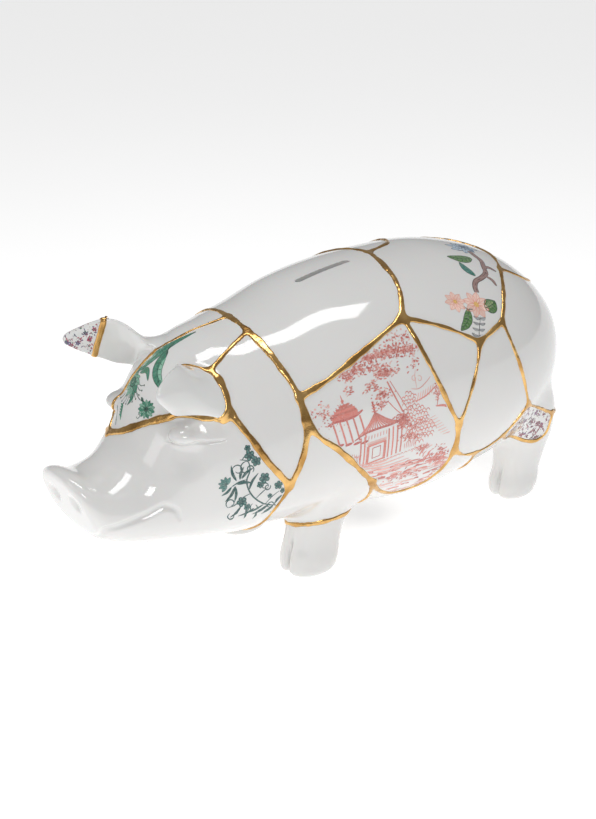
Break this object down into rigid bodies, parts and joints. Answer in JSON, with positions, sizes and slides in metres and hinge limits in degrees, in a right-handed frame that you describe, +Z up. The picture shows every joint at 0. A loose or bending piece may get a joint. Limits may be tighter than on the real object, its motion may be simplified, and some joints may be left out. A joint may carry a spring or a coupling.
{
  "type": "piggy bank",
  "caption": "Hollow glazed porcelain pig money bank, broken into shards and mended with raised gold seams, with a coin slot and a rubber stopper.",
  "frame": {"origin": "on the resting plane, under the middle of the whole object", "axes": "+X from the snout to the tail, +Z up; the pig's left side faces -Y"},
  "size_m": [0.3889, 0.1761, 0.1856],
  "materials": {
    "porcelain": "white glazed porcelain, high gloss",
    "gold": "burnished gold lustre, slightly uneven",
    "rubber": "satin black rubber"
  },
  "bodies": {
    "pig": {"face": "porcelain", "forehead": "porcelain", "left_neck": "porcelain", "right_temple": "porcelain", "right_ear_tip": "porcelain", "saddle": "porcelain", "left_flank": "porcelain", "left_shoulder": "porcelain", "front_left_foot": "porcelain", "rump_top": "porcelain", "left_flank_wedge": "porcelain", "left_hip": "porcelain", "rear": "porcelain", "hind_left_patch": "porcelain", "hind_left_leg": "porcelain", "rump_cap": "porcelain", "belly": "porcelain", "right_shoulder": "porcelain", "front_right_foot": "porcelain", "right_flank": "porcelain", "right_loin": "porcelain", "right_haunch": "porcelain", "right_rump": "porcelain", "hind_right_quarter": "porcelain", "hind_right_foot": "porcelain", "left_ear": "porcelain", "gold_seams": "gold", "gold_front_left_ankle": "gold", "gold_front_right_ankle": "gold", "gold_hind_right_ankle": "gold", "gold_right_ear_band": "gold"},
    "stopper": {"stopper": "rubber"}
  },
  "joints": [
    {"name": "stopper_pull", "type": "slide", "parent": "pig", "child": "stopper", "axis": [0, 0, -1], "range_m": [0, 0.045]}
  ]
}
